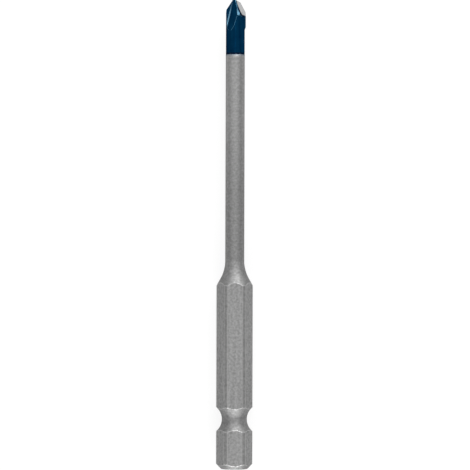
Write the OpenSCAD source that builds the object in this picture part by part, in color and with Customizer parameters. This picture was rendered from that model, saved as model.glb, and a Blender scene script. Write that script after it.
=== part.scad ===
// Glass and tile drill bit with a hexagonal quick-change shank.
// A turned steel shank and neck carry a ground carbide head, joined by a thin line of braze.
// The bit lies on one flat of its hexagon. Sizes are in millimetres.

/* [Overall] */
// Length from the shank's end to the point
overall_len = 90; // [80:0.5:120]

/* [Hexagonal shank] */
// Width across the flats
hex_af = 6.35; // [6:0.01:6.6]
// Diameter that the hexagon's corners are turned down to
hex_corner_d = 6.95; // [6.8:0.05:7.25]
// Length from the end to the shoulder, along the corners
hex_len = 35.1; // [25:0.1:45]
// Width of the 45 degree chamfer at the end
end_chamfer = 0.95; // [0.4:0.05:1.3]

/* [Ball groove] */
// Distance from the end to the middle of the groove
groove_pos = 9.5; // [8:0.1:12]
// Radius of the groove's round bottom
groove_r = 3; // [2.4:0.1:3.6]
// Diameter left at the bottom of the groove
groove_core_d = 4.8; // [4.2:0.05:5.4]

/* [Neck] */
// Diameter of the neck
neck_d = 3.65; // [3:0.05:4]
// Half angle of the shoulder's cone
shoulder_angle = 29; // [20:1:45]
// Radius that blends the shoulder's cone into the neck
shoulder_r = 7; // [3:0.5:10]

/* [Carbide head] */
// Length from the braze to the point
head_len = 10.7; // [9:0.1:14]
// Diameter of the head behind the cutting part
head_d = 3.6; // [3.2:0.05:3.9]
// Thickness of the braze between the neck and the head
braze_t = 0.25; // [0.1:0.05:0.4]

/* [Cutting diameter] */
// Diameter that the long lip cuts
cut_d = 4; // [3.8:0.05:4.4]
// Distance from the point to the rear of the long lip's margin
margin_len = 5.95; // [5:0.05:7.5]
// Length over which the margin runs down to the head
margin_runout = 0.55; // [0.3:0.05:1]
// How far the margin trails behind the middle of the head
margin_trail = 0.3; // [0.1:0.02:1.2]
// How far the margin reaches ahead of the middle of the head
margin_lead = 1; // [0.8:0.02:1.4]

/* [Lips] */
// Angle between the long lip and the axis
long_lip_angle = 26.5; // [22:0.5:36]
// Drop from the point to the long lip's outer corner
long_lip_drop = 2.5; // [2:0.05:3.5]
// Angle between the short lip and the axis
short_lip_angle = 31.6; // [24:0.5:40]
// Drop from the point to the short lip's outer corner
short_lip_drop = 2.12; // [1.8:0.02:3]
// Clearance angle ground behind each lip
lip_clearance = 28; // [12:1:32]
// Angle between the chisel bevel and the axis
chisel_angle = 58; // [48:1:68]
// Clearance angle of the chisel bevel
chisel_clearance = 10; // [6:1:16]
// Drop from the point to the chisel bevel, over the axis
chisel_drop = 0.02; // [0:0.01:0.1]

/* [Flutes] */
// Distance of the flute's valley from the middle, along the lip
valley_out = 0.75; // [0.5:0.05:1]
// Distance of the flute's valley ahead of the lip's middle plane
valley_ahead = 0.47; // [0.35:0.01:0.7]
// Depth below the point at which the valley has those two distances
valley_drop = 1.3; // [1:0.05:1.8]
// Sideways lean of the flute, as on a right-hand helix
flute_lean = 12.8; // [6:0.1:18]
// Tilt that runs the flute out of the head
flute_tilt = 4; // [3:0.5:10]
// Hook of the rake face
rake_hook = 4; // [0:1:14]
// Slope of the flute's heel face
heel_slope = 39.5; // [30:0.5:46]
// Radius of the wheel's corner, left along the valley
valley_r = 0.5; // [0.1:0.05:0.8]
// Drop from the point to the lower edge of the facet ground off each heel
heel_drop = 3.25; // [2.8:0.05:3.8]
// Angle of that facet round the axis from square to the lip
heel_turn = 20; // [10:1:28]
// Slope of that facet against the axis
heel_tilt = 15; // [8:1:20]

/* [Hidden] */
$fn = 96;

// Size of the blocks that stand for a grinding wheel's flat side
wheel = 4 * head_len;

// Radii
hex_r = hex_corner_d / 2;
neck_r = neck_d / 2;
head_r = head_d / 2;
cut_r = cut_d / 2;
groove_core_r = groove_core_d / 2;

// Heights along the axis, from the shank's end
head_z = overall_len - head_len;
shank_len = head_z - braze_t;

// The fillet touches the neck at blend_z, and the cone at cone_r, cone_z
cone_r = neck_r + shoulder_r * (1 - cos(shoulder_angle));
cone_z = hex_len + (hex_r - cone_r) / tan(shoulder_angle);
blend_z = cone_z + shoulder_r * sin(shoulder_angle);

// Outer corner of each lip and the chisel's edge, ahead of the middle by as much as the valley is
lip_ahead = valley_ahead;
long_corner_x = sqrt(cut_r * cut_r - lip_ahead * lip_ahead);
short_corner_x = sqrt(head_r * head_r - lip_ahead * lip_ahead);
long_corner = [long_corner_x, lip_ahead, overall_len - long_lip_drop];
short_corner = [short_corner_x, lip_ahead, overall_len - short_lip_drop];
chisel_edge = [0, lip_ahead, overall_len - chisel_drop];

// Lays the upright bit down on one flat, with its middle over the origin
module lay() {
    translate([0, -overall_len / 2, hex_af / 2])
        rotate([-90, 0, 0])
            children();
}

// Half outline of the turned shank and neck
module shank_outline() {
    difference() {
        polygon([
            [0, 0],
            [hex_r - end_chamfer, 0],
            [hex_r, end_chamfer],
            [hex_r, hex_len],
            [cone_r, cone_z],
            [neck_r, blend_z],
            [neck_r, shank_len],
            [0, shank_len]
        ]);
        translate([neck_r + shoulder_r, blend_z])
            circle(r = shoulder_r);
        translate([groove_core_r + groove_r, groove_pos])
            circle(r = groove_r);
    }
}

// Hexagonal bar with its end chamfered, its corners turned and its neck turned down
module shank() {
    color("darkgray") lay()
        intersection() {
            rotate_extrude() shank_outline();
            cylinder(h = shank_len, d = hex_af / cos(30), $fn = 6);
        }
}

// Braze that fills the joint and runs from the neck's edge to the head's
module braze_joint() {
    color("gainsboro") lay()
        translate([0, 0, shank_len])
            cylinder(h = braze_t, r1 = neck_r, r2 = head_r);
}

// Strip of full cutting diameter behind the long lip
module margin() {
    margin_z = overall_len - margin_len;
    intersection() {
        union() {
            translate([0, 0, margin_z])
                cylinder(h = margin_runout, r1 = head_r, r2 = cut_r);
            translate([0, 0, margin_z + margin_runout])
                cylinder(h = margin_len - margin_runout, r = cut_r);
        }
        translate([0, -margin_trail, margin_z])
            cube([wheel, margin_trail + margin_lead, margin_len]);
    }
}

// All that lies above a plane, which leans away from the axis and drops behind the lip
module above_plane(place, angle, clearance) {
    translate(place)
        rotate([clearance, 90 - angle, 0])
            translate([-wheel / 2, -wheel / 2, 0])
                cube(wheel);
}

// Round-bottomed wedge between the rake face and the heel face
module flute_outline() {
    rake_turn = -rake_hook;
    heel_turn_round = 180 - heel_slope;
    half_open = (heel_turn_round - rake_turn) / 2;
    middle = (heel_turn_round + rake_turn) / 2;
    centre = valley_r / sin(half_open) * [cos(middle), sin(middle)];
    rake_foot = centre + valley_r * [sin(rake_turn), -cos(rake_turn)];
    heel_foot = centre + valley_r * [-sin(heel_turn_round), cos(heel_turn_round)];
    polygon([
        centre,
        rake_foot,
        rake_foot + wheel * [cos(rake_turn), sin(rake_turn)],
        centre + 2 * wheel * [cos(middle), sin(middle)],
        heel_foot + wheel * [cos(heel_turn_round), sin(heel_turn_round)],
        heel_foot
    ]);
    translate(centre) circle(r = valley_r);
}

// Flute ahead of a lip that points along +X
module flute() {
    translate([valley_out, valley_ahead, overall_len - valley_drop])
        rotate([flute_tilt, -flute_lean, 0])
            linear_extrude(height = wheel, center = true)
                flute_outline();
}

// Facet ground off the heel behind a lip that points along +X
module heel_facet() {
    rotate([0, 0, heel_turn])
        translate([0, -head_r, overall_len - heel_drop])
            rotate([-heel_tilt, 0, 0])
                translate([-wheel / 2, -wheel, -wheel / 2])
                    cube(wheel);
}

// Carbide rod with two flutes and an uneven point, the long lip along +X and the short one along -X
module carbide_head() {
    color("midnightblue") lay()
        difference() {
            union() {
                translate([0, 0, head_z]) cylinder(h = head_len, r = head_r);
                margin();
            }
            for (half = [0, 180])
                rotate([0, 0, half]) {
                    flute();
                    heel_facet();
                }
            above_plane(long_corner, long_lip_angle, lip_clearance);
            above_plane(chisel_edge, chisel_angle, chisel_clearance);
            rotate([0, 0, 180])
                above_plane(short_corner, short_lip_angle, lip_clearance);
        }
}

shank();
braze_joint();
carbide_head();
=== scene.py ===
"""Glass and tile drill bit: a blasted steel shank, a line of braze and a coated carbide head.

The bit lies along +Y on one flat of its hexagon, as in the frame, and the camera looks straight
down on it. Pieces are modelled upright in millimetres, then laid down and brought to metres.
"""

import logging
import math
from collections.abc import Callable, Iterable, Iterator
from contextlib import contextmanager
from dataclasses import dataclass, replace
from enum import Enum

import bpy
from mathutils import Matrix, Vector


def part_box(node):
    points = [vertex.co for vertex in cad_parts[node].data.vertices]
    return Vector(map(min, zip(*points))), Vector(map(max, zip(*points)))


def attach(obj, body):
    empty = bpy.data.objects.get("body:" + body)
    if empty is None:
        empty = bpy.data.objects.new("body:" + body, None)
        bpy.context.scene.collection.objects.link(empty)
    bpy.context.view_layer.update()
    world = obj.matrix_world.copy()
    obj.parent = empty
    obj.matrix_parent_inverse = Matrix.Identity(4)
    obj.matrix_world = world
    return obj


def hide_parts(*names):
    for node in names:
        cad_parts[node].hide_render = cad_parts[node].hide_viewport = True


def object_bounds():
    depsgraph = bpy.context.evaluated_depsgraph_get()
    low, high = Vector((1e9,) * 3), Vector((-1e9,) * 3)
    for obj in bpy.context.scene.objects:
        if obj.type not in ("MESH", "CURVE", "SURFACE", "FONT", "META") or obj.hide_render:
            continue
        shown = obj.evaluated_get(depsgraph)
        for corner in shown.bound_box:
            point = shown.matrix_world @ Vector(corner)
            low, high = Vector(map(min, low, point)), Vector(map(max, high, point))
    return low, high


LOG = logging.getLogger("drill_bit")

MM = 0.001

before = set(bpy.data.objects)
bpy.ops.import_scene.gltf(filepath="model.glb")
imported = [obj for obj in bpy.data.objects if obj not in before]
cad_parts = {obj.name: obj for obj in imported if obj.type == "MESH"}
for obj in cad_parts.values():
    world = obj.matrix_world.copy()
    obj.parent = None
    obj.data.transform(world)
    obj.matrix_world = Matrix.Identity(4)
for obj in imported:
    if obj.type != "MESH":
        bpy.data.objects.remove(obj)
CAD_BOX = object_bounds()
TIP_Y = CAD_BOX[1].y

# Strips across each kind of bevel
EDGE_STRIPS = 2
SEAM_STRIPS = 1
VALLEY_STRIPS = 10

# Finish number that leaves a bevel in the finish of the faces beside it
FINISH_BESIDE = -1

# Limits for finding points and faces, lengths in millimetres and directions as cosines
CLOSE_POINTS = 0.0005
ON_AXIS = 0.0001
FLAT_SLACK = 0.002
FLAT_ALIGNED = 0.9995
ROUND_SLACK = 0.01
ROUND_ALIGNED = 0.99
NEAR_FACING = -0.3

# Shading: weight of large faces in smooth normals, turn of a ring's sheen, usual range of a noise
NORMAL_WEIGHT = 60
RING_TURN = 0.25
NOISE_LOW = 0.3
NOISE_HIGH = 0.7
WHITE = (1.0, 1.0, 1.0, 1.0)

# Socket numbers of a Mix node's colours, since their names repeat for each kind of data
MIX_SHARE = 0
MIX_FIRST = 6
MIX_SECOND = 7
MIX_RESULT = 2

Piece = bpy.types.Object
Socket = bpy.types.NodeSocket
Colour = tuple[float, float, float]
Place = tuple[float, float, float]
Station = tuple[float, float]
EdgeTest = Callable[[bpy.types.MeshEdge], bool]
PairTest = Callable[[int, int], bool]


class Lip(Enum):
    """The two lips, each with its turn round the axis in degrees."""

    LONG = 0.0
    SHORT = 180.0


class ShankZone(Enum):
    """Zones of the shank, each with the number of its finish."""

    # Zone 1 is the edge bevels, painted with a highlight; zone 3, the neck, is painted lighter
    # towards the head.
    TURNED = 0
    EDGE_HIGHLIGHT = 1
    FLAT = 2
    NECK = 3


class HeadZone(Enum):
    """Zones of the head, each with the number of its finish."""

    # Zone 1 is the edge bevels, 3 the flute valleys and 5 the heel facets, all painted with
    # highlights; zone 4 is a darker band.
    COATED = 0
    EDGE_HIGHLIGHT = 1
    BARE = 2
    VALLEY_HIGHLIGHT = 3
    DARK_BAND = 4
    HEEL_HIGHLIGHT = 5


Zone = ShankZone | HeadZone


@dataclass(frozen=True)
class Axis:
    """The axis of the lying bit, in millimetres.

    Upright, the bit stands on its shank's end, the long lip points along +X and the viewer is
    at -Y. Lengths along the axis start at the shank's end.
    """

    end_y: float
    height: float

    def lay(self) -> Matrix:
        """Matrix that lays an upright mesh down."""
        shank_end = Vector((0.0, self.end_y, self.height))
        return Matrix.Translation(shank_end) @ Matrix.Rotation(math.radians(-90), 4, "X")


@dataclass(frozen=True)
class Plane:
    """A cutting plane of the upright bit, whose normal points to the side that is cut off."""

    point: Vector
    normal: Vector

    def turned(self, degrees: float) -> "Plane":
        """The same plane, turned round the axis."""
        turn = Matrix.Rotation(math.radians(degrees), 3, "Z")
        return Plane(turn @ self.point, turn @ self.normal)


def pick_alone(piece: Piece) -> None:
    """Selects one piece and nothing else.

    Args:
        piece: The piece to select.
    """
    bpy.ops.object.select_all(action="DESELECT")
    piece.select_set(True)
    bpy.context.view_layer.objects.active = piece


@contextmanager
def editing(piece: Piece) -> Iterator[bpy.types.Mesh]:
    """Holds one piece in edit mode, with all of it selected at the start.

    Args:
        piece: The piece to edit.

    Returns:
        Its mesh, for the length of the edit.
    """
    pick_alone(piece)
    bpy.ops.object.mode_set(mode="EDIT")
    bpy.ops.mesh.select_all(action="SELECT")
    yield piece.data
    bpy.ops.object.mode_set(mode="OBJECT")


def apply_modifier(piece: Piece, kind: str, **settings: object) -> None:
    """Adds one modifier to a piece and applies it.

    Args:
        piece: The piece to change.
        kind: Blender's name for the modifier.
        settings: Values to set on it.
    """
    pick_alone(piece)
    modifier = piece.modifiers.new(kind.lower(), kind)
    for name, value in settings.items():
        setattr(modifier, name, value)
    bpy.ops.object.modifier_apply(modifier=modifier.name)


def apply_place(piece: Piece) -> None:
    """Moves a piece's place, turn and scale into its mesh."""
    pick_alone(piece)
    bpy.ops.object.transform_apply(location=True, rotation=True, scale=True)


def turned_body(name: str, stations: list[Station], steps: int) -> Piece:
    """Turns a solid round the upright axis, ring by ring, as on a lathe.

    Args:
        name: Name of the new piece.
        stations: Height and radius of each ring, from the bottom up.
        steps: Number of points round each ring.

    Returns:
        The closed solid, upright.
    """
    bpy.ops.object.select_all(action="DESELECT")
    height, radius = stations[0]
    bpy.ops.mesh.primitive_circle_add(
        vertices=steps, radius=radius, fill_type="NGON", location=(0.0, 0.0, height)
    )
    body = bpy.context.active_object
    body.name = name
    body.data.name = name
    apply_place(body)
    with editing(body):
        for next_height, next_radius in stations[1:]:
            rise = next_height - height
            spread = next_radius / radius
            bpy.ops.mesh.extrude_region_move(TRANSFORM_OT_translate={"value": (0.0, 0.0, rise)})
            bpy.ops.transform.resize(
                value=(spread, spread, 1.0), center_override=(0.0, 0.0, next_height)
            )
            height = next_height
            radius = next_radius
        bpy.ops.mesh.select_all(action="SELECT")
        bpy.ops.mesh.normals_make_consistent(inside=False)
    return body


def cut_away(piece: Piece, plane: Plane) -> None:
    """Cuts off what lies beyond a plane and closes the cut with a face.

    Args:
        piece: The piece to cut.
        plane: The plane, in the piece's own coordinates.
    """
    with editing(piece):
        bpy.ops.mesh.bisect(
            plane_co=plane.point, plane_no=plane.normal, use_fill=True, clear_outer=True
        )


def merge_close(piece: Piece, distance: float) -> None:
    """Merges the points of a piece that lie close together, and turns its faces outwards.

    Args:
        piece: The piece to change.
        distance: Distance below which points are merged.
    """
    with editing(piece):
        bpy.ops.mesh.remove_doubles(threshold=distance)
        bpy.ops.mesh.normals_make_consistent(inside=False)


def faces_on(mesh: bpy.types.Mesh, plane: Plane) -> list[int]:
    """Finds the faces that lie in a plane and look the same way.

    Args:
        mesh: The mesh to search.
        plane: The plane, in the mesh's coordinates.

    Returns:
        The numbers of those faces.
    """
    normal = plane.normal.normalized()
    found = []
    for face in mesh.polygons:
        aligned = face.normal.dot(normal) > FLAT_ALIGNED
        if aligned and abs((face.center - plane.point).dot(normal)) < FLAT_SLACK:
            found.append(face.index)
    return found


def arc(centre: Station, radius: float, start: float, stop: float, count: int) -> list[Station]:
    """Stations along an arc of a lathe profile.

    Args:
        centre: Height and radius of the arc's centre.
        radius: Radius of the arc.
        start: Angle of the first station in degrees, from the height's direction.
        stop: Angle of the last station.
        count: Number of steps between them.

    Returns:
        The stations in order.
    """
    stations = []
    for step in range(count + 1):
        angle = math.radians(start + (stop - start) * step / count)
        stations.append(
            (centre[0] + radius * math.cos(angle), centre[1] + radius * math.sin(angle))
        )
    return stations


def sharp_pairs(mesh: bpy.types.Mesh, degrees: float, spared: set[int]) -> PairTest:
    """Makes a test that picks edges by the turn between their two faces.

    Args:
        mesh: The mesh that the faces belong to.
        degrees: Smallest turn that counts as an edge.
        spared: Numbers of faces whose edges stay sharp.

    Returns:
        The test on two face numbers.
    """
    limit = math.cos(math.radians(degrees))

    def picked(first: int, second: int) -> bool:
        """Tells whether two faces meet in a sharp edge that is not spared."""
        cosine = mesh.polygons[first].normal.dot(mesh.polygons[second].normal)
        return cosine < limit and spared.isdisjoint((first, second))

    return picked


def bevel_edges(
    piece: Piece, picked: EdgeTest, width: float, strips: int, finish: int = FINISH_BESIDE
) -> None:
    """Bevels the edges of a piece that pass a test.

    Args:
        piece: The piece, in millimetres.
        picked: Test on an edge of its mesh.
        width: Width of the bevel on each side of the edge.
        strips: Number of strips across the bevel.
        finish: Number of the finish that the bevel gets.
    """
    with editing(piece) as mesh:
        bpy.ops.mesh.select_mode(type="EDGE")
        bpy.ops.mesh.select_all(action="DESELECT")
        bpy.ops.object.mode_set(mode="OBJECT")
        for edge in mesh.edges:
            edge.select = picked(edge)
        bpy.ops.object.mode_set(mode="EDIT")
        bpy.ops.mesh.bevel(
            offset_type="OFFSET",
            offset=width,
            segments=strips,
            affect="EDGES",
            clamp_overlap=False,
            material=finish,
        )
        bpy.ops.mesh.select_mode(type="VERT")


def bevel_between(piece: Piece, picked: PairTest, width: float, strips: int, zone: Zone) -> None:
    """Bevels the edges of a piece that are picked by their two faces, in one of its finishes.

    Args:
        piece: The piece, in millimetres, with its finishes in place.
        picked: Test on the numbers of an edge's two faces.
        width: Width of the bevel on each side of the edge.
        strips: Number of strips across the bevel.
        zone: The zone whose finish the bevel gets.
    """
    sides: dict[tuple[int, int], list[int]] = {}
    for face in piece.data.polygons:
        for key in face.edge_keys:
            sides.setdefault(key, []).append(face.index)

    def between(edge: bpy.types.MeshEdge) -> bool:
        """Tells whether an edge has two faces that are picked."""
        pair = sides.get(edge.key, [])
        return len(pair) == 2 and picked(*pair)

    bevel_edges(piece, between, width, strips, zone.value)


def finish_piece(piece: Piece, axis: Axis, smooth_degrees: float) -> None:
    """Lays a finished upright piece down, brings it to metres and smooths its round faces.

    Args:
        piece: The upright piece, in millimetres.
        axis: The lying bit's axis.
        smooth_degrees: Largest angle between faces that shade as one.
    """
    merge_close(piece, CLOSE_POINTS)
    piece.matrix_world = Matrix.Scale(MM, 4) @ axis.lay()
    apply_place(piece)
    bpy.ops.object.shade_smooth_by_angle(angle=math.radians(smooth_degrees))
    apply_modifier(piece, "WEIGHTED_NORMAL", keep_sharp=True, weight=NORMAL_WEIGHT)


def facing(back: Vector, side: Vector, place: Vector) -> Matrix:
    """Matrix that sets up a lamp or the camera.

    Args:
        back: Direction from what it looks at to itself.
        side: Direction of its first side, square to the back.
        place: Where it stands.

    Returns:
        The matrix of its place and turn.
    """
    turn = Matrix((side, back.cross(side), back)).transposed()
    return Matrix.Translation(place) @ turn.to_4x4()


class NodeSheet:
    """Adds and joins nodes in one node tree."""

    def __init__(self, tree: bpy.types.NodeTree) -> None:
        """Takes the tree to work on."""
        self.tree = tree

    def add(self, kind: str, **settings: object) -> bpy.types.Node:
        """Adds one node.

        Args:
            kind: Blender's name for the node's type.
            settings: Properties of the node to set.

        Returns:
            The new node.
        """
        node = self.tree.nodes.new(kind)
        for name, value in settings.items():
            setattr(node, name, value)
        return node

    def plug(self, socket: Socket, source: object) -> None:
        """Sets or links one input.

        Args:
            socket: The input.
            source: A value, or an output socket to link from.
        """
        if isinstance(source, Socket):
            self.tree.links.new(source, socket)
        else:
            socket.default_value = source

    def feed(self, node: bpy.types.Node, **sources: object) -> None:
        """Sets or links a node's inputs.

        Args:
            node: The node to feed.
            sources: A value or an output socket for each input, with _ for a space in its name.
        """
        for name, source in sources.items():
            self.plug(node.inputs[name.replace("_", " ")], source)

    def math(self, operation: str, first: object, second: object) -> Socket:
        """Adds one sum on two values.

        Args:
            operation: Blender's name for the sum.
            first: The first value or output socket.
            second: The second value or output socket.

        Returns:
            The result's socket.
        """
        node = self.add("ShaderNodeMath", operation=operation)
        for socket, source in zip(node.inputs, (first, second)):
            self.plug(socket, source)
        return node.outputs[0]

    def span(self, value: Socket, **limits: float) -> Socket:
        """Maps a value from one range to another, each of them from 0 to 1 where not given.

        Args:
            value: The socket to map.
            limits: From_Min, From_Max, To_Min or To_Max.

        Returns:
            The result's socket.
        """
        node = self.add("ShaderNodeMapRange")
        self.feed(node, Value=value, **limits)
        return node.outputs["Result"]

    def noise(self, place: Socket, scale: Socket, detail: float, roughness: float) -> Socket:
        """Adds one noise.

        Args:
            place: The socket with the place on the surface.
            scale: The socket with the noise's scale, per metre.
            detail: Number of finer layers.
            roughness: Share of each finer layer.

        Returns:
            The noise's socket.
        """
        node = self.add("ShaderNodeTexNoise")
        self.feed(node, Vector=place, Scale=scale, Detail=detail, Roughness=roughness)
        return node.outputs["Fac"]

    def blend(self, share: Socket, first: Colour, second: Colour) -> Socket:
        """Mixes two colours by a value between 0 and 1.

        Args:
            share: The socket that gives the second colour's share.
            first: Colour at 0.
            second: Colour at 1.

        Returns:
            The mixed colour's socket.
        """
        node = self.add("ShaderNodeMix", data_type="RGBA")
        self.plug(node.inputs[MIX_SHARE], share)
        self.plug(node.inputs[MIX_FIRST], (*first, 1.0))
        self.plug(node.inputs[MIX_SECOND], (*second, 1.0))
        return node.outputs[MIX_RESULT]


def empty_sheet(owner: bpy.types.Material | bpy.types.World) -> NodeSheet:
    """Clears the nodes of a material or world.

    Args:
        owner: The material or world.

    Returns:
        A sheet on its empty tree.
    """
    owner.use_nodes = True
    owner.node_tree.nodes.clear()
    return NodeSheet(owner.node_tree)


def shader_group(name: str, inputs: list[str], outputs: list[str]) -> NodeSheet:
    """Makes an empty shader node group with a vector input and value sockets.

    Args:
        name: Name of the group.
        inputs: Name of each value input.
        outputs: Name of each value output.

    Returns:
        A sheet on the group's tree, whose nodes hold its input and output nodes.
    """
    tree = bpy.data.node_groups.new(name, "ShaderNodeTree")
    tree.interface.new_socket("Place", in_out="INPUT", socket_type="NodeSocketVector")
    for label in inputs:
        tree.interface.new_socket(label, in_out="INPUT", socket_type="NodeSocketFloat")
    for label in outputs:
        tree.interface.new_socket(label, in_out="OUTPUT", socket_type="NodeSocketFloat")
    sheet = NodeSheet(tree)
    sheet.add("NodeGroupInput", name="in")
    sheet.add("NodeGroupOutput", name="out")
    return sheet


def surface_grain() -> bpy.types.NodeTree:
    """Builds the fine grain that blasting, braze and coating leave on a surface.

    Returns:
        The group, with a coarse Mottle and a fine Height between 0 and 1.
    """
    sheet = shader_group("surface_grain", ["Mottle Scale", "Grain Scale"], ["Mottle", "Height"])
    start = sheet.tree.nodes["in"].outputs
    mottle = sheet.noise(start["Place"], start["Mottle Scale"], detail=4.0, roughness=0.6)
    grain = sheet.noise(start["Place"], start["Grain Scale"], detail=2.0, roughness=0.5)
    spread = sheet.span(mottle, From_Min=NOISE_LOW, From_Max=NOISE_HIGH)
    sheet.feed(sheet.tree.nodes["out"], Mottle=spread, Height=grain)
    return sheet.tree


def tool_lines() -> bpy.types.NodeTree:
    """Builds the fine lines that drawing or grinding leaves along one direction.

    Returns:
        The group, with Lines between 0 and 1 that run along the Place's own Y.
    """
    sheet = shader_group("tool_lines", ["Line Scale", "Stretch"], ["Lines"])
    start = sheet.tree.nodes["in"].outputs
    split = sheet.add("ShaderNodeSeparateXYZ")
    sheet.feed(split, Vector=start["Place"])
    drawn_out = sheet.math("MULTIPLY", split.outputs["Y"], start["Stretch"])
    joined = sheet.add("ShaderNodeCombineXYZ")
    sheet.feed(joined, X=split.outputs["X"], Y=drawn_out, Z=split.outputs["Z"])
    noise = sheet.noise(joined.outputs["Vector"], start["Line Scale"], detail=3.0, roughness=0.5)
    spread = sheet.span(noise, From_Min=NOISE_LOW, From_Max=NOISE_HIGH)
    sheet.feed(sheet.tree.nodes["out"], Lines=spread)
    return sheet.tree


@dataclass(frozen=True)
class Effects:
    """Shader groups that the finishes share."""

    grain: bpy.types.NodeTree
    lines: bpy.types.NodeTree


@dataclass(frozen=True)
class Finish:
    """A metal finish: two tones mixed by mottle, tool lines and a ramp along the bit that paints
    light into the tone.

    Scales are per metre, relief and places along the bit are in metres, and turns in degrees.
    The mottle has the share that lines and the ramp of painted light leave. The light tone is the
    smooth one.
    """

    name: str
    dark: Colour
    light: Colour
    smooth: float
    rough: float
    mottle_scale: float
    grain_scale: float
    relief: float
    line_scale: float
    line_stretch: float
    line_share: float
    line_turn: float = 0.0
    metallic: float = 1.0
    specular_level: float = 0.5
    specular_tint: Colour = (1.0, 1.0, 1.0)
    ring_sheen: float = 0.0
    light_ramp_share: float = 0.0
    light_ramp_start: float = 0.0
    light_ramp_stop: float = 0.0

    def light_ramp(self, sheet: NodeSheet, place: Socket) -> Socket:
        """Value that grows from 0 to 1 along the bit: the ramp that paints light into the tone.

        Args:
            sheet: The material's nodes.
            place: The socket with the place on the surface.

        Returns:
            The value's socket.
        """
        split = sheet.add("ShaderNodeSeparateXYZ")
        sheet.feed(split, Vector=place)
        return sheet.span(split.outputs["Y"], From_Min=self.light_ramp_start, From_Max=self.light_ramp_stop)

    def pattern(self, sheet: NodeSheet, effects: Effects) -> tuple[Socket, Socket]:
        """Tone, between 0 and 1, and height over the surface.

        Args:
            sheet: The material's nodes.
            effects: The shared shader groups.

        Returns:
            The tone's socket and the height's socket.
        """
        place = sheet.add("ShaderNodeTexCoord").outputs["Object"]
        grain = sheet.add("ShaderNodeGroup", node_tree=effects.grain)
        sheet.feed(grain, Place=place, Mottle_Scale=self.mottle_scale, Grain_Scale=self.grain_scale)
        turned = sheet.add("ShaderNodeMapping")
        sheet.feed(turned, Vector=place, Rotation=(0.0, 0.0, math.radians(self.line_turn)))
        lines = sheet.add("ShaderNodeGroup", node_tree=effects.lines)
        sheet.feed(lines, Place=turned.outputs["Vector"])
        sheet.feed(lines, Line_Scale=self.line_scale, Stretch=self.line_stretch)
        mottle_share = 1.0 - self.line_share - self.light_ramp_share
        mottle_part = sheet.math("MULTIPLY", grain.outputs["Mottle"], mottle_share)
        line_part = sheet.math("MULTIPLY", lines.outputs["Lines"], self.line_share)
        tone = sheet.math("ADD", mottle_part, line_part)
        # Painted light: the ramp along the bit lightens the tone where it reaches 1.
        if self.light_ramp_share > 0:
            light_ramp_part = sheet.math("MULTIPLY", self.light_ramp(sheet, place), self.light_ramp_share)
            tone = sheet.math("ADD", tone, light_ramp_part)
        height = sheet.math("ADD", grain.outputs["Height"], line_part)
        return tone, height

    def material(self, effects: Effects) -> bpy.types.Material:
        """Builds the finish as a material.

        Args:
            effects: The shared shader groups.

        Returns:
            The new material.
        """
        material = bpy.data.materials.new(self.name)
        sheet = empty_sheet(material)
        tone, height = self.pattern(sheet, effects)
        bump = sheet.add("ShaderNodeBump")
        sheet.feed(bump, Height=height, Strength=1.0, Distance=self.relief)
        shader = sheet.add("ShaderNodeBsdfPrincipled")
        sheet.feed(
            shader,
            Base_Color=sheet.blend(tone, self.dark, self.light),
            Roughness=sheet.span(tone, To_Min=self.rough, To_Max=self.smooth),
            Metallic=self.metallic,
            Specular_IOR_Level=self.specular_level,
            Specular_Tint=(*self.specular_tint, 1.0),
            Normal=bump.outputs["Normal"],
        )
        if self.ring_sheen > 0:
            rings = sheet.add("ShaderNodeTangent", direction_type="RADIAL", axis="Y")
            sheet.feed(shader, Anisotropic=self.ring_sheen, Anisotropic_Rotation=RING_TURN)
            sheet.feed(shader, Tangent=rings.outputs["Tangent"])
        output = sheet.add("ShaderNodeOutputMaterial")
        sheet.feed(output, Surface=shader.outputs["BSDF"])
        return material


BLASTED_STEEL = Finish(
    name="blasted_steel",
    dark=(0.205, 0.205, 0.204),
    light=(0.405, 0.405, 0.404),
    smooth=0.62,
    rough=0.70,
    mottle_scale=2200.0,
    grain_scale=6000.0,
    relief=0.006 * MM,
    line_scale=1600.0,
    line_stretch=0.05,
    line_share=0.25,
    specular_tint=(0.5, 0.5, 0.5),
)

TURNED_STEEL = replace(
    BLASTED_STEEL,
    name="turned_steel",
    dark=(0.206, 0.206, 0.205),
    light=(0.328, 0.328, 0.327),
    smooth=0.60,
    rough=0.68,
    line_scale=2600.0,
    line_stretch=0.04,
    line_share=0.12,
    line_turn=90.0,
    ring_sheen=0.32,
)

# The neck is painted lighter towards the head: a painted gradient of light, where the lamps light
# the neck's upper part more.
NECK_STEEL = replace(
    TURNED_STEEL,
    name="neck_steel",
    dark=(0.191, 0.191, 0.190),
    light=(0.366, 0.366, 0.365),
    smooth=0.50,
    rough=0.58,
    ring_sheen=0.2,
    light_ramp_share=0.286,
    light_ramp_start=TIP_Y - 37.6 * MM,
    light_ramp_stop=TIP_Y - 24.2 * MM,
)

# Bevels on the shank's edges, painted lighter: a painted highlight along each edge.
EDGE_HIGHLIGHT_STEEL = replace(
    BLASTED_STEEL,
    name="edge_highlight_steel",
    dark=(0.345, 0.345, 0.343),
    light=(0.51, 0.51, 0.508),
    smooth=0.46,
    rough=0.54,
    relief=0.002 * MM,
    specular_tint=(0.6, 0.6, 0.6),
)

COATED_CARBIDE = Finish(
    name="coated_carbide",
    dark=(0.0, 0.0115, 0.036),
    light=(0.0012, 0.0285, 0.066),
    smooth=0.14,
    rough=0.22,
    mottle_scale=1100.0,
    grain_scale=9000.0,
    relief=0.001 * MM,
    line_scale=1500.0,
    line_stretch=0.06,
    line_share=0.7,
    metallic=0.3,
    specular_level=0.0,
    specular_tint=(0.05, 0.10, 0.15),
)

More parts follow.
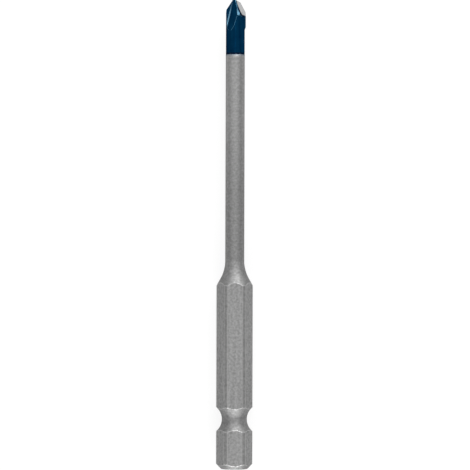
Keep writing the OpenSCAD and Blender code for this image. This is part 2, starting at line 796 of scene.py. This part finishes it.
# A darker coating, for the band next to the braze and the seam along the long flank's near edge.
DARK_BAND_COATING = replace(
    COATED_CARBIDE,
    name="dark_band_coating",
    dark=(0.0015, 0.006, 0.017),
    light=(0.004, 0.012, 0.030),
    smooth=0.30,
    rough=0.40,
    mottle_scale=1800.0,
    line_scale=3000.0,
    line_share=0.3,
)

# Bevels on the head's edges, painted lighter: a painted highlight along each edge.
EDGE_HIGHLIGHT_COATING = Finish(
    name="edge_highlight_coating",
    dark=(0.03, 0.10, 0.16),
    light=(0.07, 0.18, 0.27),
    smooth=0.38,
    rough=0.48,
    mottle_scale=2600.0,
    grain_scale=9000.0,
    relief=0.001 * MM,
    line_scale=3000.0,
    line_stretch=0.06,
    line_share=0.2,
    specular_tint=(0.3, 0.4, 0.5),
)

# The round valley of each flute is painted lighter: a painted highlight streak, ramped dark towards
# the point.
VALLEY_HIGHLIGHT_COATING = replace(
    EDGE_HIGHLIGHT_COATING,
    name="valley_highlight_coating",
    dark=(0.0, 0.010, 0.035),
    light=(0.085, 0.190, 0.270),
    line_share=0.1,
    light_ramp_share=0.75,
    light_ramp_start=TIP_Y - 0.7 * MM,
    light_ramp_stop=TIP_Y - 3.3 * MM,
)

# The heel facets are painted lighter: a painted highlight, ramped dark towards the point.
HEEL_HIGHLIGHT_COATING = replace(
    VALLEY_HIGHLIGHT_COATING,
    name="heel_highlight_coating",
    light_ramp_start=TIP_Y - 1.5 * MM,
    light_ramp_stop=TIP_Y - 2.7 * MM,
)

GROUND_CARBIDE = Finish(
    name="ground_carbide",
    dark=(0.35, 0.352, 0.354),
    light=(0.50, 0.507, 0.515),
    smooth=0.24,
    rough=0.34,
    mottle_scale=1500.0,
    grain_scale=9000.0,
    relief=0.0015 * MM,
    line_scale=9000.0,
    line_stretch=0.03,
    line_share=0.7,
    line_turn=35.0,
)

BRAZE_ALLOY = Finish(
    name="braze_alloy",
    dark=(0.20, 0.225, 0.25),
    light=(0.29, 0.32, 0.35),
    smooth=0.45,
    rough=0.55,
    mottle_scale=2200.0,
    grain_scale=5000.0,
    relief=0.001 * MM,
    line_scale=2000.0,
    line_stretch=1.0,
    line_share=0.2,
    specular_tint=(0.5, 0.5, 0.5),
)


def give_finishes(piece: Piece, finishes: tuple[Finish, ...], effects: Effects) -> None:
    """Fills a piece's material slots in the order of its finishes.

    Args:
        piece: The piece to dress.
        finishes: Its finishes, in the order of its zones.
        effects: The shared shader groups.
    """
    piece.data.materials.clear()
    for finish in finishes:
        piece.data.materials.append(finish.material(effects))


def mark_zone(piece: Piece, numbers: Iterable[int], zone: Zone) -> None:
    """Gives some faces of a piece the finish of a zone.

    Args:
        piece: The piece, with its finishes in place.
        numbers: Numbers of the faces.
        zone: The zone that they belong to.
    """
    for number in numbers:
        piece.data.polygons[number].material_index = zone.value


@dataclass(frozen=True)
class Shank:
    """Hexagonal shank with its ball groove, shoulder and neck, in millimetres."""

    axis: Axis
    length: float
    hex_af: float
    hex_sides: int = 6
    hex_corner_d: float = 6.95
    hex_len: float = 35.1
    end_chamfer: float = 0.95
    groove_pos: float = 9.5
    groove_r: float = 3.0
    groove_core_d: float = 4.8
    groove_steps: int = 32
    neck_d: float = 3.65
    shoulder_angle: float = 29.0
    shoulder_r: float = 7.0
    shoulder_steps: int = 16
    edge_break: float = 0.06
    edge_degrees: float = 14.0
    merge: float = 0.01
    steps: int = 180
    smooth_degrees: float = 10.0

    def neck_start(self) -> float:
        """Works out the height at which the shoulder's blend runs into the neck.

        Returns:
            The height above the shank's end.
        """
        slope = math.radians(self.shoulder_angle)
        cone_r = self.neck_d / 2 + self.shoulder_r * (1 - math.cos(slope))
        cone_at = self.hex_len + (self.hex_corner_d / 2 - cone_r) / math.tan(slope)
        return cone_at + self.shoulder_r * math.sin(slope)

    def groove(self) -> list[Station]:
        """Works out the round ball groove.

        Returns:
            Its stations, from the shank's end upwards.
        """
        groove_axis = self.groove_core_d / 2 + self.groove_r
        half_open = math.degrees(math.acos((groove_axis - self.hex_corner_d / 2) / self.groove_r))
        centre = (self.groove_pos, groove_axis)
        return arc(centre, self.groove_r, -90 - half_open, -90 + half_open, self.groove_steps)

    def shoulder(self) -> list[Station]:
        """Works out the round blend between the shoulder's cone and the neck.

        Returns:
            Its stations, from the cone upwards.
        """
        centre = (self.neck_start(), self.neck_d / 2 + self.shoulder_r)
        return arc(centre, self.shoulder_r, -90 - self.shoulder_angle, -90, self.shoulder_steps)

    def profile(self) -> list[Station]:
        """Works out the turned profile.

        Returns:
            Its stations, from the shank's end to the braze.
        """
        corner_r = self.hex_corner_d / 2
        return [
            (0.0, corner_r - self.end_chamfer),
            (self.end_chamfer, corner_r),
            *self.groove(),
            (self.hex_len, corner_r),
            *self.shoulder(),
            (self.length, self.neck_d / 2),
        ]

    def flats(self) -> list[Plane]:
        """Works out the flats of the hexagon, two of them square to Y.

        Returns:
            The plane of each flat.
        """
        planes = []
        for flat in range(self.hex_sides):
            angle = math.radians(360.0 / self.hex_sides * flat + 90.0)
            normal = Vector((math.cos(angle), math.sin(angle), 0.0))
            planes.append(Plane(normal * self.hex_af / 2, normal))
        return planes

    def neck_faces(self, mesh: bpy.types.Mesh) -> list[int]:
        """Numbers of the faces round the neck."""
        start = self.neck_start()
        return [face.index for face in mesh.polygons if face.center.z > start]

    def build(self, effects: Effects) -> Piece:
        """Turns the bar, mills its flats and bevels its edges, with a painted highlight along them.

        Args:
            effects: The shared shader groups.

        Returns:
            The dressed shank, in its place.
        """
        piece = turned_body("steel_shank", self.profile(), self.steps)
        for plane in self.flats():
            cut_away(piece, plane)
        merge_close(piece, self.merge)
        give_finishes(piece, (TURNED_STEEL, EDGE_HIGHLIGHT_STEEL, BLASTED_STEEL, NECK_STEEL), effects)
        # The neck gets the finish with a painted gradient of light.
        mark_zone(piece, self.neck_faces(piece.data), ShankZone.NECK)
        edges = sharp_pairs(piece.data, self.edge_degrees, set())
        # The edge bevels get the lighter edge finish: a painted highlight.
        bevel_between(piece, edges, self.edge_break, EDGE_STRIPS, ShankZone.EDGE_HIGHLIGHT)
        for plane in self.flats():
            mark_zone(piece, faces_on(piece.data, plane), ShankZone.FLAT)
        finish_piece(piece, self.axis, self.smooth_degrees)
        return piece

    def seat(self, piece: Piece) -> None:
        """Puts the shank under the root body and hides the CAD shank it replaces.

        Args:
            piece: The dressed shank.
        """
        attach(piece, "root")
        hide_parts("shank")


@dataclass(frozen=True)
class BrazeJoint:
    """Thin fillet of braze between the neck and the head, in millimetres."""

    axis: Axis
    start: float
    stop: float
    neck_d: float
    head_d: float
    swell: float = 0.02
    rings: int = 8
    steps: int = 128
    smooth_degrees: float = 40.0

    def build(self, effects: Effects) -> Piece:
        """Turns the fillet with a slightly swollen rim.

        Args:
            effects: The shared shader groups.

        Returns:
            The dressed braze, in its place.
        """
        stations = []
        for ring in range(self.rings + 1):
            share = ring / self.rings
            radius = self.neck_d / 2 + (self.head_d - self.neck_d) / 2 * share
            rise = self.swell * math.sin(math.pi * share)
            stations.append((self.start + (self.stop - self.start) * share, radius + rise))
        piece = turned_body("braze_fillet", stations, self.steps)
        give_finishes(piece, (BRAZE_ALLOY,), effects)
        finish_piece(piece, self.axis, self.smooth_degrees)
        return piece

    def seat(self, piece: Piece) -> None:
        """Puts the braze under the root body and hides the CAD braze it replaces.

        Args:
            piece: The dressed braze.
        """
        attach(piece, "root")
        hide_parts("braze_joint")


@dataclass(frozen=True)
class CarbideHead:
    """Carbide rod with two flutes and an uneven ground point, in millimetres and degrees."""

    axis: Axis
    start: float
    tip: float
    head_d: float = 3.6
    cut_d: float = 4.0
    margin_len: float = 5.95
    margin_runout: float = 0.55
    margin_trail: float = 0.3
    margin_lead: float = 1.0
    margin_top_drop: float = 1.0
    long_lip_angle: float = 26.5
    long_lip_drop: float = 2.5
    short_lip_angle: float = 31.6
    short_lip_drop: float = 2.12
    lip_clearance: float = 28.0
    chisel_angle: float = 58.0
    chisel_clearance: float = 10.0
    chisel_drop: float = 0.02
    valley_out: float = 0.75
    valley_ahead: float = 0.47
    valley_drop: float = 1.3
    flute_lean: float = 12.8
    flute_tilt: float = 4.0
    rake_hook: float = 4.0
    heel_slope: float = 39.5
    valley_r: float = 0.5
    heel_drop: float = 3.25
    heel_turn: float = 20.0
    heel_tilt: float = 15.0
    wheel: float = 40.0
    dark_band_len: float = 0.4
    seam_width: float = 0.24
    edge_break: float = 0.03
    edge_degrees: float = 14.0
    merge: float = 0.002
    steps: int = 160
    smooth_degrees: float = 10.0

    def lip_plane(self, corner: Vector, angle: float, clearance: float) -> Plane:
        """Works out the plane ground behind a lip that points along +X.

        Args:
            corner: A point on the lip.
            angle: Angle between the lip and the axis.
            clearance: Drop behind the lip.

        Returns:
            The plane, upright.
        """
        lean = math.radians(angle)
        drop = math.radians(clearance)
        normal = Vector(
            (math.cos(drop) * math.cos(lean), -math.sin(drop), math.cos(drop) * math.sin(lean))
        )
        return Plane(corner, normal)

    def point_planes(self) -> list[Plane]:
        """Works out the ground point.

        Returns:
            The planes of the long flank, the chisel bevel and the short flank.
        """
        ahead = self.valley_ahead
        long_x = math.sqrt((self.cut_d / 2) ** 2 - ahead**2)
        short_x = math.sqrt((self.head_d / 2) ** 2 - ahead**2)
        long_corner = Vector((long_x, ahead, self.tip - self.long_lip_drop))
        short_corner = Vector((short_x, ahead, self.tip - self.short_lip_drop))
        chisel_edge = Vector((0.0, ahead, self.tip - self.chisel_drop))
        short_flank = self.lip_plane(short_corner, self.short_lip_angle, self.lip_clearance)
        return [
            self.lip_plane(long_corner, self.long_lip_angle, self.lip_clearance),
            self.lip_plane(chisel_edge, self.chisel_angle, self.chisel_clearance),
            short_flank.turned(Lip.SHORT.value),
        ]

    def heel_plane(self, lip: Lip) -> Plane:
        """Works out the facet ground off the heel behind a lip.

        Args:
            lip: The lip.

        Returns:
            The facet's plane, upright.
        """
        tilt = math.radians(self.heel_tilt)
        foot = Vector((0.0, -self.head_d / 2, self.tip - self.heel_drop))
        normal = Vector((0.0, -math.cos(tilt), math.sin(tilt)))
        return Plane(foot, normal).turned(self.heel_turn).turned(lip.value)

    def margin(self) -> Piece:
        """Makes the strip of full cutting diameter behind the long lip.

        Returns:
            The strip, upright.
        """
        low = self.tip - self.margin_len
        stations = [
            (low, self.head_d / 2),
            (low + self.margin_runout, self.cut_d / 2),
            (self.tip - self.margin_top_drop, self.cut_d / 2),
        ]
        strip = turned_body("margin_strip", stations, self.steps)
        cut_away(strip, Plane(Vector((0.0, self.margin_lead, 0.0)), Vector((0.0, 1.0, 0.0))))
        cut_away(strip, Plane(Vector((0.0, -self.margin_trail, 0.0)), Vector((0.0, -1.0, 0.0))))
        cut_away(strip, Plane(Vector((0.0, 0.0, 0.0)), Vector((-1.0, 0.0, 0.0))))
        return strip

    def flute_place(self, lip: Lip) -> Matrix:
        """Matrix that sets a flute's own outline in its place on the upright head.

        Args:
            lip: The lip that the flute lies ahead of.

        Returns:
            The matrix. The valley runs along the outline's own Z.
        """
        valley = Vector((self.valley_out, self.valley_ahead, self.tip - self.valley_drop))
        return (
            Matrix.Rotation(math.radians(lip.value), 4, "Z")
            @ Matrix.Translation(valley)
            @ Matrix.Rotation(math.radians(-self.flute_lean), 4, "Y")
            @ Matrix.Rotation(math.radians(self.flute_tilt), 4, "X")
        )

    def flute_wheel(self, lip: Lip) -> Piece:
        """Makes the round-cornered wedge that stands for the wheel that grinds a flute.

        Args:
            lip: The lip that the flute lies ahead of.

        Returns:
            The wedge, in its place on the upright head.
        """
        bpy.ops.object.select_all(action="DESELECT")
        bpy.ops.mesh.primitive_cube_add(size=self.wheel)
        wedge = bpy.context.active_object
        wedge.name = f"flute_wheel_{lip.name.lower()}"
        mesh = wedge.data
        rake = math.radians(-self.rake_hook)
        heel = math.radians(180 - self.heel_slope)
        origin = Vector((0.0, 0.0, 0.0))
        cut_away(wedge, Plane(origin, Vector((math.sin(rake), -math.cos(rake), 0.0))))
        cut_away(wedge, Plane(origin, Vector((-math.sin(heel), math.cos(heel), 0.0))))

        def on_axis(edge: bpy.types.MeshEdge) -> bool:
            """Tells whether an edge of the wedge lies on its own Z."""
            return all(mesh.vertices[number].co.xy.length < ON_AXIS for number in edge.vertices)

        tangent = self.valley_r / math.tan((heel - rake) / 2)
        bevel_edges(wedge, on_axis, tangent, VALLEY_STRIPS)
        wedge.matrix_world = self.flute_place(lip)
        apply_place(wedge)
        return wedge

    def valley_faces(self, mesh: bpy.types.Mesh, lip: Lip) -> list[int]:
        """Finds the faces of the round bottom of a flute.

        Args:
            mesh: The upright head's mesh.
            lip: The lip that the flute lies ahead of.

        Returns:
            The numbers of those faces.
        """
        into_outline = self.flute_place(lip).inverted()
        half_open = math.radians(180 - self.heel_slope + self.rake_hook) / 2
        middle = half_open - math.radians(self.rake_hook)
        reach = self.valley_r / math.sin(half_open)
        centre = Vector((reach * math.cos(middle), reach * math.sin(middle)))
        found = []
        for face in mesh.polygons:
            spoke = (into_outline @ face.center).xy - centre
            inward = -(into_outline.to_3x3() @ face.normal).xy
            round_wall = abs(spoke.length - self.valley_r) < ROUND_SLACK
            if round_wall and spoke.normalized().dot(inward) > ROUND_ALIGNED:
                found.append(face.index)
        return found

    def seam_pairs(self, mesh: bpy.types.Mesh) -> PairTest:
        """Makes a test that picks the near edge of the long flank, where the coating ends.

        Args:
            mesh: The upright head's mesh.

        Returns:
            The test on two face numbers.
        """
        flank = set(faces_on(mesh, self.point_planes()[0]))

        def picked(first: int, second: int) -> bool:
            """Tells whether the flank meets a coated face that looks to the viewer."""
            coated = {first, second} - flank
            return len(coated) == 1 and mesh.polygons[coated.pop()].normal.y < NEAR_FACING

        return picked

    def bare_faces(self, mesh: bpy.types.Mesh) -> set[int]:
        """Numbers of the faces of the ground point, which carry no coating."""
        return {number for plane in self.point_planes() for number in faces_on(mesh, plane)}

    def dark_band_faces(self, mesh: bpy.types.Mesh) -> list[int]:
        """Numbers of the faces next to the braze, which get a darker coating."""
        limit = self.start + self.dark_band_len
        return [face.index for face in mesh.polygons if face.center.z < limit]

    def grind(self) -> Piece:
        """Grinds the head from a rod, with the long lip's margin left on it.

        Returns:
            The bare head, upright.
        """
        heights = (self.start, self.start + self.dark_band_len, self.tip)
        rod = [(height, self.head_d / 2) for height in heights]
        piece = turned_body("coated_head", rod, self.steps)
        strip = self.margin()
        apply_modifier(piece, "BOOLEAN", operation="UNION", solver="EXACT", object=strip)
        bpy.data.objects.remove(strip)
        for plane in self.point_planes():
            cut_away(piece, plane)
        for lip in Lip:
            cut_away(piece, self.heel_plane(lip))
        for lip in Lip:
            wheel = self.flute_wheel(lip)
            apply_modifier(piece, "BOOLEAN", operation="DIFFERENCE", solver="EXACT", object=wheel)
            bpy.data.objects.remove(wheel)
        merge_close(piece, self.merge)
        return piece

    def dress(self, piece: Piece, effects: Effects) -> None:
        """Gives the head its finishes, a darker seam along the long flank, edge bevels with a
        painted highlight, and painted highlights on the flute valleys and heel facets.

        Args:
            piece: The bare head, upright.
            effects: The shared shader groups.
        """
        finishes = (
            COATED_CARBIDE,
            EDGE_HIGHLIGHT_COATING,
            GROUND_CARBIDE,
            VALLEY_HIGHLIGHT_COATING,
            DARK_BAND_COATING,
            HEEL_HIGHLIGHT_COATING,
        )
        give_finishes(piece, finishes, effects)
        # The near edge of the long flank gets a bevel in the darker coating.
        seam = self.seam_pairs(piece.data)
        bevel_between(piece, seam, self.seam_width, SEAM_STRIPS, HeadZone.DARK_BAND)
        # Other sharp edges get bevels painted lighter: a painted highlight.
        edges = sharp_pairs(piece.data, self.edge_degrees, self.bare_faces(piece.data))
        bevel_between(piece, edges, self.edge_break, EDGE_STRIPS, HeadZone.EDGE_HIGHLIGHT)
        # Flute valleys are painted lighter: a painted highlight.
        for lip in Lip:
            mark_zone(piece, self.valley_faces(piece.data, lip), HeadZone.VALLEY_HIGHLIGHT)
            # Heel facets are painted lighter: a painted highlight.
            mark_zone(piece, faces_on(piece.data, self.heel_plane(lip)), HeadZone.HEEL_HIGHLIGHT)
        # Faces next to the braze get the darker coating.
        mark_zone(piece, self.dark_band_faces(piece.data), HeadZone.DARK_BAND)
        mark_zone(piece, self.bare_faces(piece.data), HeadZone.BARE)

    def build(self, effects: Effects) -> Piece:
        """Grinds the head, dresses it and lays it down.

        Args:
            effects: The shared shader groups.

        Returns:
            The dressed head, in its place.
        """
        piece = self.grind()
        self.dress(piece, effects)
        finish_piece(piece, self.axis, self.smooth_degrees)
        return piece

    def seat(self, piece: Piece) -> None:
        """Puts the head under the root body and hides the CAD head it replaces.

        Args:
            piece: The dressed head.
        """
        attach(piece, "root")
        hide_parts("carbide_head")


@dataclass(frozen=True)
class Lamp:
    """One soft panel of light, set off from the point it is aimed at, in metres."""

    name: str
    aim: Place
    direction: Place
    distance: float
    along: Place
    size: tuple[float, float]
    radiance: float

    def build(self) -> None:
        """Makes the panel, with its first side along the given direction."""
        width, height = self.size
        data = bpy.data.lights.new(self.name, "AREA")
        data.shape = "RECTANGLE"
        data.size = width
        data.size_y = height
        data.energy = self.radiance * math.pi * width * height
        back = Vector(self.direction).normalized()
        along = Vector(self.along)
        side = (along - back * along.dot(back)).normalized()
        lamp = bpy.data.objects.new(self.name, data)
        lamp.matrix_world = facing(back, side, Vector(self.aim) + back * self.distance)
        lamp.visible_camera = False
        bpy.context.collection.objects.link(lamp)


LAMPS = (
    Lamp(
        name="tip_panel",
        aim=(0.0, 0.03, 0.003),
        direction=(0.2, 0.86, 0.5),
        distance=0.33,
        along=(1.0, 0.0, 0.0),
        size=(0.20, 0.13),
        radiance=16.8,
    ),
    Lamp(
        name="shank_panel",
        aim=(0.0, -0.03, 0.003),
        direction=(0.0, -0.89, 0.45),
        distance=0.33,
        along=(1.0, 0.0, 0.0),
        size=(0.40, 0.14),
        radiance=9.2,
    ),
    Lamp(
        name="heel_panel",
        aim=(0.0, 0.041, 0.003),
        direction=(0.606, 0.532, 0.591),
        distance=0.25,
        along=(1.0, -1.0, 0.0),
        size=(0.05, 0.05),
        radiance=5.0,
    ),
    Lamp(
        name="neck_strip",
        aim=(0.0, 0.045, 0.003),
        direction=(0.0, 0.1, 1.0),
        distance=0.3,
        along=(1.0, 0.0, 0.0),
        size=(0.02, 0.08),
        radiance=8.0,
    ),
    Lamp(
        name="flute_panel",
        aim=(0.0, 0.041, 0.003),
        direction=(-0.6, 0.38, 0.7),
        distance=0.25,
        along=(-1.0, 0.0, -1.0),
        size=(0.15, 0.03),
        radiance=9.0,
    ),
)


@dataclass(frozen=True)
class Studio:
    """White floor, soft light and the camera of the photograph, in metres.

    The photograph's side, and the places across and down it of the shank's end and of the
    point, are in its pixels. The sensor is in millimetres.
    """

    target: Vector
    length: float
    photo_side: float = 470.0
    end_across: float = 234.15
    end_down: float = 468.7
    point_across: float = 235.45
    point_down: float = -1.0
    distance: float = 0.514
    roll_degrees: float = 1.6
    sensor: float = 36.0
    clip_start: float = 0.01
    clip_end: float = 20.0
    floor_side: float = 12.0
    floor_drop: float = 0.00002
    floor_grey: float = 0.9
    floor_glow: float = 0.85
    surround: float = 0.43

    def white_rays(self, sheet: NodeSheet) -> Socket:
        """Mask of the rays that see the white background, as the camera and metal do.

        Args:
            sheet: The floor's nodes.

        Returns:
            The mask's socket.
        """
        rays = sheet.add("ShaderNodeLightPath")
        seen = sheet.math("MAXIMUM", rays.outputs["Is Camera Ray"], rays.outputs["Is Glossy Ray"])
        return sheet.math("MAXIMUM", seen, rays.outputs["Is Transmission Ray"])

    def build_floor(self) -> None:
        """Lays a plain white floor that keeps a faint shadow."""
        bpy.ops.object.select_all(action="DESELECT")
        bpy.ops.mesh.primitive_plane_add(size=self.floor_side, location=(0.0, 0.0, -self.floor_drop))
        floor = bpy.context.active_object
        floor.name = "floor"
        apply_place(floor)
        material = bpy.data.materials.new("white_floor")
        sheet = empty_sheet(material)
        matt = sheet.add("ShaderNodeBsdfDiffuse")
        sheet.feed(matt, Color=(self.floor_grey, self.floor_grey, self.floor_grey, 1.0))
        glow = sheet.add("ShaderNodeEmission")
        sheet.feed(glow, Color=WHITE, Strength=1.0)
        mixed = sheet.add("ShaderNodeMixShader")
        share, first, second = mixed.inputs
        sheet.plug(share, sheet.math("MULTIPLY", self.white_rays(sheet), self.floor_glow))
        sheet.plug(first, matt.outputs["BSDF"])
        sheet.plug(second, glow.outputs["Emission"])
        output = sheet.add("ShaderNodeOutputMaterial")
        sheet.feed(output, Surface=mixed.outputs["Shader"])
        floor.data.materials.append(material)

    def build_world(self) -> None:
        """Makes a plain pale surround that lights the scene softly."""
        world = bpy.data.worlds.new("white_surround")
        bpy.context.scene.world = world
        sheet = empty_sheet(world)
        background = sheet.add("ShaderNodeBackground")
        sheet.feed(background, Color=WHITE, Strength=self.surround)
        output = sheet.add("ShaderNodeOutputWorld")
        sheet.feed(output, Surface=background.outputs["Background"])

    def build_camera(self) -> None:
        """Sets the camera above the bit, with the framing of the photograph."""
        run_down = self.end_down - self.point_down
        run_across = self.point_across - self.end_across
        per_pixel = self.length / math.hypot(run_down, run_across)
        lean = math.atan2(run_across, run_down)
        middle = self.photo_side / 2
        along = (self.end_down - middle) * per_pixel - self.length / 2
        axis_across = self.end_across + run_across * (self.end_down - middle) / run_down
        aim = self.target + Vector(((middle - axis_across) * per_pixel, along, 0.0))
        roll = math.radians(self.roll_degrees)
        back = Vector((-math.sin(roll), 0.0, math.cos(roll)))
        up = Vector((-math.sin(lean), math.cos(lean), 0.0))
        right = up.cross(back).normalized()
        data = bpy.data.cameras.new("photo_camera")
        data.sensor_width = self.sensor
        data.lens = self.sensor * self.distance / (self.photo_side * per_pixel)
        data.clip_start = self.clip_start
        data.clip_end = self.clip_end
        camera = bpy.data.objects.new("photo_camera", data)
        camera.matrix_world = facing(back, right, aim + back * self.distance)
        bpy.context.collection.objects.link(camera)
        bpy.context.scene.camera = camera

    def build(self) -> None:
        """Sets up floor, surround, lamps and camera."""
        bpy.context.scene.view_settings.view_transform = "Standard"
        self.build_floor()
        self.build_world()
        for lamp in LAMPS:
            lamp.build()
        self.build_camera()


def main() -> None:
    """Builds the bit's pieces in order, then the studio round them."""
    logging.basicConfig(level=logging.INFO, format="%(name)s: %(message)s")
    low, high = CAD_BOX
    shank_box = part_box("shank")
    braze_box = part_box("braze_joint")
    head_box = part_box("carbide_head")
    hex_af = (high.z - low.z) / MM
    axis = Axis(end_y=low.y / MM, height=(low.z + high.z) / 2 / MM)
    shank_len = (shank_box[1].y - low.y) / MM
    head_start = (braze_box[1].y - low.y) / MM
    tip = (head_box[1].y - low.y) / MM
    effects = Effects(grain=surface_grain(), lines=tool_lines())
    shank = Shank(axis, shank_len, hex_af)
    head = CarbideHead(axis, head_start, tip)
    braze = BrazeJoint(axis, shank_len, head_start, shank.neck_d, head.head_d)
    for assembly in (shank, braze, head):
        piece = assembly.build(effects)
        assembly.seat(piece)
        LOG.info("%s: %d faces", piece.name, len(piece.data.polygons))
    middle = Vector((0.0, (low.y + high.y) / 2, (low.z + high.z) / 2))
    Studio(target=middle, length=high.y - low.y).build()


if __name__ == "__main__":
    main()
